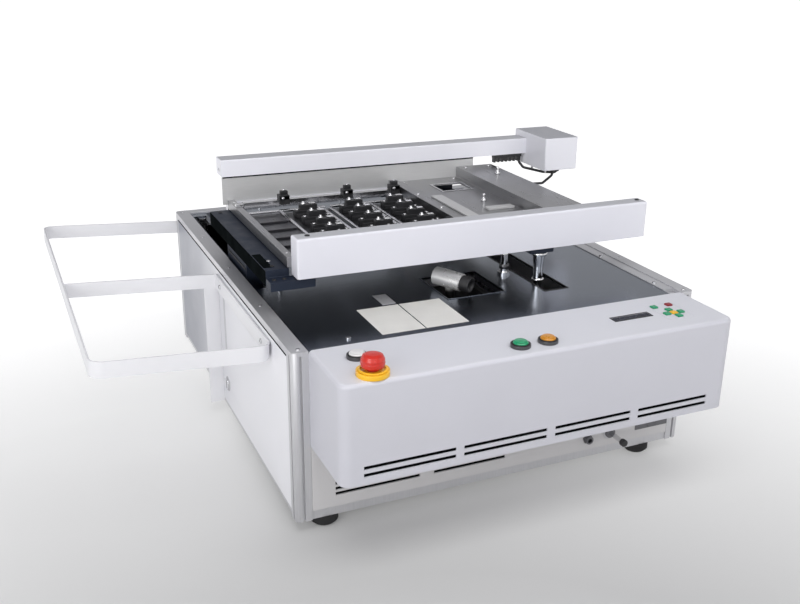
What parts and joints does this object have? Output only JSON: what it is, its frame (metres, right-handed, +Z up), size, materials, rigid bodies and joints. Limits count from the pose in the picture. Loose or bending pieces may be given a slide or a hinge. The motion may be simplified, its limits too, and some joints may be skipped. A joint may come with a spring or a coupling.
{
  "type": "bench board soldering machine",
  "caption": "Bench soldering machine: profile cabinet with steel deck and fixed solder nozzle, an open board carriage on crossed slides above it, a front operator console and a side bar guard.",
  "frame": {"origin": "middle of the outline, on the floor under the feet", "axes": "+X to the operator's right, +Y to the back, +Z up; the console faces -Y and the guard stands out to -X"},
  "size_m": [1.0045, 0.934, 0.467],
  "materials": {
    "white_paint": "satin powder coat",
    "console_paint": "satin powder coat",
    "anodised_profile": "satin anodised",
    "deck_steel": "brushed",
    "bright_steel": "brushed",
    "nozzle_steel": "polished",
    "dark_aluminium": "dark anodised",
    "pot_iron": "rough",
    "motor_paint": "matt",
    "black_rubber": "matt",
    "black_plastic": "matt",
    "board_green": "laminate",
    "lcd_window": "gloss",
    "yellow_plastic": "gloss",
    "red_plastic": "gloss",
    "green_plastic": "gloss",
    "orange_plastic": "gloss",
    "white_plastic": "gloss"
  },
  "bodies": {
    "base": {"frame_posts": "anodised_profile", "top_rails": "anodised_profile", "side_panels": "white_paint", "rear_panel": "white_paint", "front_panel": "white_paint", "bottom_plate": "bright_steel", "deck_plate": "deck_steel", "feet": "black_rubber", "console_shell": "console_paint", "estop_base": "yellow_plastic", "button_bezels": "black_plastic", "lcd_module": "lcd_window", "circuit_boards": "board_green", "guard_frame": "white_paint", "guard_bracket": "white_paint", "solder_pot": "pot_iron", "pot_cover": "pot_iron", "solder_nozzle": "nozzle_steel", "drive_motors": "motor_paint", "power_supply": "motor_paint", "fan_housing": "bright_steel", "mains_inlet": "black_plastic", "front_fittings": "nozzle_steel", "y_rails": "bright_steel", "deck_fittings": "bright_steel"},
    "y_stage": {"y_blocks": "dark_aluminium", "side_beams": "dark_aluminium", "stage_columns": "nozzle_steel", "x_rails": "bright_steel", "x_nut": "dark_aluminium"},
    "carriage": {"front_beam": "white_paint", "rear_beam": "white_paint", "rear_plate": "bright_steel", "carriage_bars": "bright_steel", "tray_plate": "bright_steel", "motor_box": "white_paint", "x_motor": "motor_paint", "x_blocks": "dark_aluminium", "pallet_plate": "bright_steel", "pallet_blocks": "black_plastic", "cable_harness": "black_plastic"},
    "board_rail": {"board_rail": "bright_steel"},
    "x_screw": {"x_screw": "bright_steel"},
    "y_screw": {"y_screw": "bright_steel"},
    "pump_rotor": {"pump_rotor": "pot_iron"},
    "fan_rotor": {"fan_rotor": "black_plastic"},
    "power_switch": {"power_switch": "black_plastic"},
    "drain_rod": {"drain_rod": "nozzle_steel"},
    "estop_head": {"estop_head": "red_plastic"},
    "side_lock": {"side_lock": "nozzle_steel"},
    "button_start": {"button_start": "green_plastic"},
    "button_cycle": {"button_cycle": "orange_plastic"},
    "button_reset": {"button_reset": "white_plastic"},
    "key_left": {"key_left": "green_plastic"},
    "key_right": {"key_right": "green_plastic"},
    "key_back": {"key_back": "green_plastic"},
    "key_front": {"key_front": "green_plastic"},
    "key_enter": {"key_enter": "yellow_plastic"},
    "key_stop": {"key_stop": "red_plastic"},
    "key_menu": {"key_menu": "green_plastic"}
  },
  "joints": [
    {"name": "y_slide", "type": "slide", "parent": "base", "child": "y_stage", "axis": [0, 1, 0], "range_m": [-0.03, 0.2]},
    {"name": "x_slide", "type": "slide", "parent": "y_stage", "child": "carriage", "axis": [1, 0, 0], "range_m": [-0.285, 0]},
    {"name": "y_screw_turn", "type": "hinge", "parent": "base", "child": "y_screw", "pos_m": [0.24225, 0.063, 0.215], "axis": [0, 1, 0], "continuous": true},
    {"name": "x_screw_turn", "type": "hinge", "parent": "carriage", "child": "x_screw", "pos_m": [0.10825, 0.205, 0.4395], "axis": [1, 0, 0], "continuous": true},
    {"name": "board_rail_slide", "type": "slide", "parent": "carriage", "child": "board_rail", "axis": [0, 1, 0], "range_m": [-0.018, 0.035]},
    {"name": "pump_turn", "type": "hinge", "parent": "base", "child": "pump_rotor", "pos_m": [0.11325, -0.122, 0.14], "axis": [0, 0, 1], "continuous": true},
    {"name": "fan_turn", "type": "hinge", "parent": "base", "child": "fan_rotor", "pos_m": [0.28825, 0.449, 0.15], "axis": [0, 1, 0], "continuous": true},
    {"name": "power_rock", "type": "hinge", "parent": "base", "child": "power_switch", "pos_m": [-0.07675, 0.461, 0.075], "axis": [1, 0, 0], "range_deg": [-8, 8]},
    {"name": "drain_pull", "type": "slide", "parent": "base", "child": "drain_rod", "axis": [0, -1, 0], "range_m": [0, 0.02]},
    {"name": "estop_press", "type": "slide", "parent": "base", "child": "estop_head", "axis": [0, 0, -1], "range_m": [0, 0.0045]},
    {"name": "side_lock_turn", "type": "hinge", "parent": "base", "child": "side_lock", "pos_m": [-0.24175, 0.065, 0.072], "axis": [1, 0, 0], "range_deg": [0, 90]},
    {"name": "button_start_press", "type": "slide", "parent": "base", "child": "button_start", "axis": [0, 0, -1], "range_m": [0, 0.004], "stiffness_N_per_m": 400},
    {"name": "button_cycle_press", "type": "slide", "parent": "base", "child": "button_cycle", "axis": [0, 0, -1], "range_m": [0, 0.004], "stiffness_N_per_m": 400},
    {"name": "button_reset_press", "type": "slide", "parent": "base", "child": "button_reset", "axis": [0, 0, -1], "range_m": [0, 0.004], "stiffness_N_per_m": 400},
    {"name": "key_left_press", "type": "slide", "parent": "base", "child": "key_left", "axis": [0, 0, -1], "range_m": [0, 0.0012], "stiffness_N_per_m": 600},
    {"name": "key_right_press", "type": "slide", "parent": "base", "child": "key_right", "axis": [0, 0, -1], "range_m": [0, 0.0012], "stiffness_N_per_m": 600},
    {"name": "key_back_press", "type": "slide", "parent": "base", "child": "key_back", "axis": [0, 0, -1], "range_m": [0, 0.0012], "stiffness_N_per_m": 600},
    {"name": "key_front_press", "type": "slide", "parent": "base", "child": "key_front", "axis": [0, 0, -1], "range_m": [0, 0.0012], "stiffness_N_per_m": 600},
    {"name": "key_enter_press", "type": "slide", "parent": "base", "child": "key_enter", "axis": [0, 0, -1], "range_m": [0, 0.0012], "stiffness_N_per_m": 600},
    {"name": "key_stop_press", "type": "slide", "parent": "base", "child": "key_stop", "axis": [0, 0, -1], "range_m": [0, 0.0012], "stiffness_N_per_m": 600},
    {"name": "key_menu_press", "type": "slide", "parent": "base", "child": "key_menu", "axis": [0, 0, -1], "range_m": [0, 0.0012], "stiffness_N_per_m": 600}
  ],
  "couplings": [
    {"joint": "y_screw_turn", "follows": "y_slide", "rad_per_m": 314.16},
    {"joint": "x_screw_turn", "follows": "x_slide", "rad_per_m": 314.16}
  ]
}
